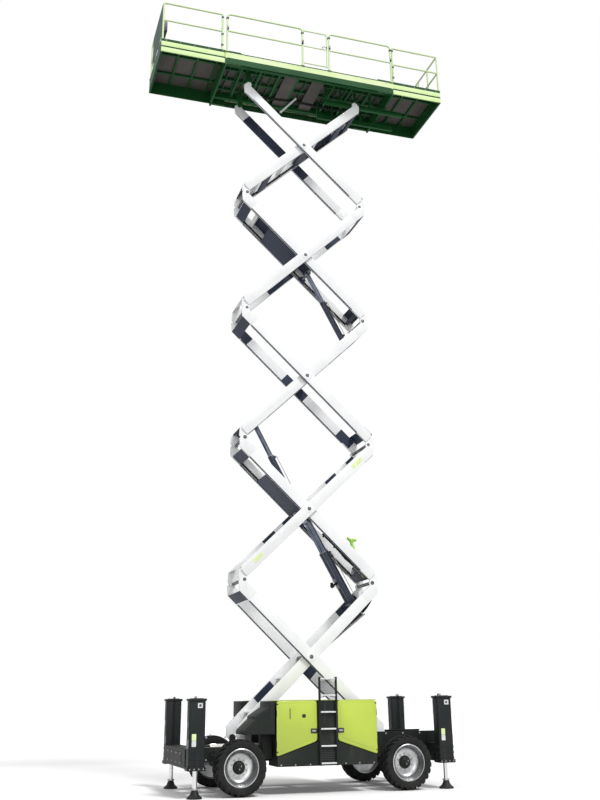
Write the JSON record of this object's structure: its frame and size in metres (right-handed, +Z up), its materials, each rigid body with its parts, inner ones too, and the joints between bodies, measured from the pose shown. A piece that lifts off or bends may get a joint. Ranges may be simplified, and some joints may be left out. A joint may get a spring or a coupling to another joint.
{
  "type": "rough-terrain scissor lift",
  "caption": "Self-propelled rough-terrain scissor lift with crossed arms raised, outriggers down and a railed platform with sliding extension decks.",
  "frame": {"origin": "on the ground, under the centre of the overall box, with the machine standing level on its tyres and outrigger feet", "axes": "+X along the machine towards its steered axle, +Y towards the far side, away from the entry ladder, +Z up"},
  "size_m": [6.32, 2.29, 15.172],
  "materials": {
    "lime": "semi-gloss yellow-green paint",
    "charcoal": "satin charcoal paint",
    "arm_white": "semi-gloss off-white paint",
    "tyre": "matt black rubber",
    "rim_silver": "silver paint",
    "bright_steel": "plated steel",
    "engine_grey": "rough grey"
  },
  "bodies": {
    "chassis": {"chassis_frame": "charcoal", "end_beam_rear": "charcoal", "end_beam_front": "charcoal", "rear_axle": "charcoal", "front_axle": "charcoal", "pod_near": "charcoal", "pod_far": "charcoal", "end_cover_near": "charcoal", "end_cover_far": "charcoal", "engine_block": "engine_grey", "ladder": "charcoal", "outrigger_box_rear_near": "charcoal", "outrigger_box_rear_far": "charcoal", "outrigger_box_front_near": "charcoal", "outrigger_box_front_far": "charcoal"},
    "arms_1_outer": {"arms_1_outer": "arm_white"},
    "arms_1_inner": {"arms_1_inner": "arm_white"},
    "arms_2_outer": {"arms_2_outer": "arm_white"},
    "arms_2_inner": {"arms_2_inner": "arm_white"},
    "arms_3_outer": {"arms_3_outer": "arm_white"},
    "arms_3_inner": {"arms_3_inner": "arm_white"},
    "arms_4_outer": {"arms_4_outer": "arm_white"},
    "arms_4_inner": {"arms_4_inner": "arm_white"},
    "arms_5_outer": {"arms_5_outer": "arm_white"},
    "arms_5_inner": {"arms_5_inner": "arm_white"},
    "platform": {"deck_main": "lime", "rails_near_left": "lime", "rails_near_right": "lime", "rails_far": "lime"},
    "lift_barrel_lower": {"lift_barrel_lower": "charcoal"},
    "lift_rod_lower": {"lift_rod_lower": "bright_steel"},
    "lift_barrel_middle": {"lift_barrel_middle": "charcoal"},
    "lift_rod_middle": {"lift_rod_middle": "bright_steel"},
    "lift_barrel_upper": {"lift_barrel_upper": "charcoal"},
    "lift_rod_upper": {"lift_rod_upper": "bright_steel"},
    "wheel_rear_near": {"rim_rear_near": "rim_silver", "tyre_rear_near": "tyre"},
    "outrigger_leg_rear_near": {"outrigger_leg_rear_near": "bright_steel"},
    "wheel_rear_far": {"rim_rear_far": "rim_silver", "tyre_rear_far": "tyre"},
    "outrigger_leg_rear_far": {"outrigger_leg_rear_far": "bright_steel"},
    "wheel_front_near": {"rim_front_near": "rim_silver", "tyre_front_near": "tyre"},
    "knuckle_near": {"knuckle_near": "charcoal"},
    "outrigger_leg_front_near": {"outrigger_leg_front_near": "bright_steel"},
    "wheel_front_far": {"rim_front_far": "rim_silver", "tyre_front_far": "tyre"},
    "knuckle_far": {"knuckle_far": "charcoal"},
    "outrigger_leg_front_far": {"outrigger_leg_front_far": "bright_steel"},
    "pod_door_rear_near": {"pod_door_rear_near": "lime"},
    "pod_door_front_near": {"pod_door_front_near": "lime"},
    "pod_door_rear_far": {"pod_door_rear_far": "lime"},
    "pod_door_front_far": {"pod_door_front_far": "lime"},
    "extension_left": {"deck_extension_left": "lime", "rails_extension_left": "lime", "control_box": "charcoal"},
    "extension_right": {"deck_extension_right": "lime", "rails_extension_right": "lime"},
    "gate": {"gate": "lime"}
  },
  "joints": [
    {"name": "lift", "type": "hinge", "parent": "chassis", "child": "arms_1_inner", "pos_m": [-1.20105, 0, 0.818], "axis": [0, -1, 0], "range_deg": [-43.3, 8]},
    {"name": "crossing_1", "type": "hinge", "parent": "arms_1_inner", "child": "arms_1_outer", "pos_m": [0.014, 0, 2.10919], "axis": [0, -1, 0], "range_deg": [-16, 86.6]},
    {"name": "elbow_1_2", "type": "hinge", "parent": "arms_1_outer", "child": "arms_2_outer", "pos_m": [-1.20105, 0, 3.40038], "axis": [0, -1, 0], "range_deg": [-86.6, 16]},
    {"name": "crossing_2", "type": "hinge", "parent": "arms_2_outer", "child": "arms_2_inner", "pos_m": [0.014, 0, 4.69157], "axis": [0, -1, 0], "range_deg": [-16, 86.6]},
    {"name": "elbow_2_3", "type": "hinge", "parent": "arms_2_inner", "child": "arms_3_inner", "pos_m": [-1.20105, 0, 5.98276], "axis": [0, -1, 0], "range_deg": [-86.6, 16]},
    {"name": "crossing_3", "type": "hinge", "parent": "arms_3_inner", "child": "arms_3_outer", "pos_m": [0.014, 0, 7.27395], "axis": [0, -1, 0], "range_deg": [-16, 86.6]},
    {"name": "elbow_3_4", "type": "hinge", "parent": "arms_3_outer", "child": "arms_4_outer", "pos_m": [-1.20105, 0, 8.56514], "axis": [0, -1, 0], "range_deg": [-86.6, 16]},
    {"name": "crossing_4", "type": "hinge", "parent": "arms_4_outer", "child": "arms_4_inner", "pos_m": [0.014, 0, 9.85633], "axis": [0, -1, 0], "range_deg": [-16, 86.6]},
    {"name": "elbow_4_5", "type": "hinge", "parent": "arms_4_inner", "child": "arms_5_inner", "pos_m": [-1.20105, 0, 11.14752], "axis": [0, -1, 0], "range_deg": [-86.6, 16]},
    {"name": "crossing_5", "type": "hinge", "parent": "arms_5_inner", "child": "arms_5_outer", "pos_m": [0.014, 0, 12.43871], "axis": [0, -1, 0], "range_deg": [-16, 86.6]},
    {"name": "platform_pivot", "type": "hinge", "parent": "arms_5_outer", "child": "platform", "pos_m": [-1.20105, 0, 13.7299], "axis": [0, -1, 0], "range_deg": [-43.3, 8]},
    {"name": "barrel_lower_pivot", "type": "hinge", "parent": "arms_1_inner", "child": "lift_barrel_lower", "pos_m": [0.94641, 0, 3.04423], "axis": [0, -1, 0], "range_deg": [-18.1, 97.6]},
    {"name": "rod_lower_slide", "type": "slide", "parent": "lift_barrel_lower", "child": "lift_rod_lower", "axis": [-0.4896, 0, 0.872], "range_m": [-0.561, 0.104]},
    {"name": "barrel_middle_pivot", "type": "hinge", "parent": "arms_2_inner", "child": "lift_barrel_middle", "pos_m": [-0.15482, 0, 4.90591], "axis": [0, -1, 0], "range_deg": [-2.2, 11.6]},
    {"name": "rod_middle_slide", "type": "slide", "parent": "lift_barrel_middle", "child": "lift_rod_middle", "axis": [-0.4703, 0, 0.8825], "range_m": [-0.566, 0.105]},
    {"name": "barrel_upper_pivot", "type": "hinge", "parent": "arms_3_inner", "child": "lift_barrel_upper", "pos_m": [0.94641, 0, 8.20899], "axis": [0, -1, 0], "range_deg": [-18.2, 98.2]},
    {"name": "rod_upper_slide", "type": "slide", "parent": "lift_barrel_upper", "child": "lift_rod_upper", "axis": [-0.4703, 0, 0.8825], "range_m": [-0.566, 0.105]},
    {"name": "roll_rear_near", "type": "hinge", "parent": "chassis", "child": "wheel_rear_near", "pos_m": [-1.4, -0.995, 0.419], "axis": [0, 1, 0], "continuous": true},
    {"name": "outrigger_rear_near", "type": "slide", "parent": "chassis", "child": "outrigger_leg_rear_near", "axis": [0, 0, 1], "range_m": [0, 0.29]},
    {"name": "roll_rear_far", "type": "hinge", "parent": "chassis", "child": "wheel_rear_far", "pos_m": [-1.4, 0.995, 0.419], "axis": [0, 1, 0], "continuous": true},
    {"name": "outrigger_rear_far", "type": "slide", "parent": "chassis", "child": "outrigger_leg_rear_far", "axis": [0, 0, 1], "range_m": [0, 0.29]},
    {"name": "steer_near", "type": "hinge", "parent": "chassis", "child": "knuckle_near", "pos_m": [1.46, -0.77, 0.419], "axis": [0, 0, 1], "range_deg": [-35, 35]},
    {"name": "roll_front_near", "type": "hinge", "parent": "knuckle_near", "child": "wheel_front_near", "pos_m": [1.46, -0.995, 0.419], "axis": [0, 1, 0], "continuous": true},
    {"name": "outrigger_front_near", "type": "slide", "parent": "chassis", "child": "outrigger_leg_front_near", "axis": [0, 0, 1], "range_m": [0, 0.29]},
    {"name": "steer_far", "type": "hinge", "parent": "chassis", "child": "knuckle_far", "pos_m": [1.46, 0.77, 0.419], "axis": [0, 0, 1], "range_deg": [-35, 35]},
    {"name": "roll_front_far", "type": "hinge", "parent": "knuckle_far", "child": "wheel_front_far", "pos_m": [1.46, 0.995, 0.419], "axis": [0, 1, 0], "continuous": true},
    {"name": "outrigger_front_far", "type": "slide", "parent": "chassis", "child": "outrigger_leg_front_far", "axis": [0, 0, 1], "range_m": [0, 0.29]},
    {"name": "door_rear_near", "type": "hinge", "parent": "chassis", "child": "pod_door_rear_near", "pos_m": [-0.809, -1.078, 1], "axis": [0, 0, -1], "range_deg": [0, 100]},
    {"name": "door_front_near", "type": "hinge", "parent": "chassis", "child": "pod_door_front_near", "pos_m": [0.924, -1.078, 1], "axis": [0, 0, 1], "range_deg": [0, 100]},
    {"name": "door_rear_far", "type": "hinge", "parent": "chassis", "child": "pod_door_rear_far", "pos_m": [-0.809, 1.078, 1], "axis": [0, 0, 1], "range_deg": [0, 100]},
    {"name": "door_front_far", "type": "hinge", "parent": "chassis", "child": "pod_door_front_far", "pos_m": [0.924, 1.078, 1], "axis": [0, 0, -1], "range_deg": [0, 100]},
    {"name": "extension_left_slide", "type": "slide", "parent": "platform", "child": "extension_left", "axis": [1, 0, 0], "range_m": [0, 1.3]},
    {"name": "extension_right_slide", "type": "slide", "parent": "platform", "child": "extension_right", "axis": [-1, 0, 0], "range_m": [0, 1.11]},
    {"name": "gate_hinge", "type": "hinge", "parent": "platform", "child": "gate", "pos_m": [-0.094, -0.783, 14.7], "axis": [0, 0, 1], "range_deg": [0, 90]}
  ],
  "couplings": [
    {"joint": "crossing_1", "follows": "lift", "ratio": -2},
    {"joint": "elbow_1_2", "follows": "lift", "ratio": 2},
    {"joint": "crossing_2", "follows": "lift", "ratio": -2},
    {"joint": "elbow_2_3", "follows": "lift", "ratio": 2},
    {"joint": "crossing_3", "follows": "lift", "ratio": -2},
    {"joint": "elbow_3_4", "follows": "lift", "ratio": 2},
    {"joint": "crossing_4", "follows": "lift", "ratio": -2},
    {"joint": "elbow_4_5", "follows": "lift", "ratio": 2},
    {"joint": "crossing_5", "follows": "lift", "ratio": -2},
    {"joint": "platform_pivot", "follows": "lift", "ratio": 1},
    {"joint": "barrel_lower_pivot", "follows": "lift", "ratio": -2.2533},
    {"joint": "rod_lower_slide", "follows": "lift", "m_per_rad": 0.7417},
    {"joint": "barrel_middle_pivot", "follows": "lift", "ratio": -0.2658},
    {"joint": "rod_middle_slide", "follows": "lift", "m_per_rad": 0.7483},
    {"joint": "barrel_upper_pivot", "follows": "lift", "ratio": -2.2658},
    {"joint": "rod_upper_slide", "follows": "lift", "m_per_rad": 0.7483},
    {"joint": "steer_far", "follows": "steer_near", "ratio": 1}
  ]
}
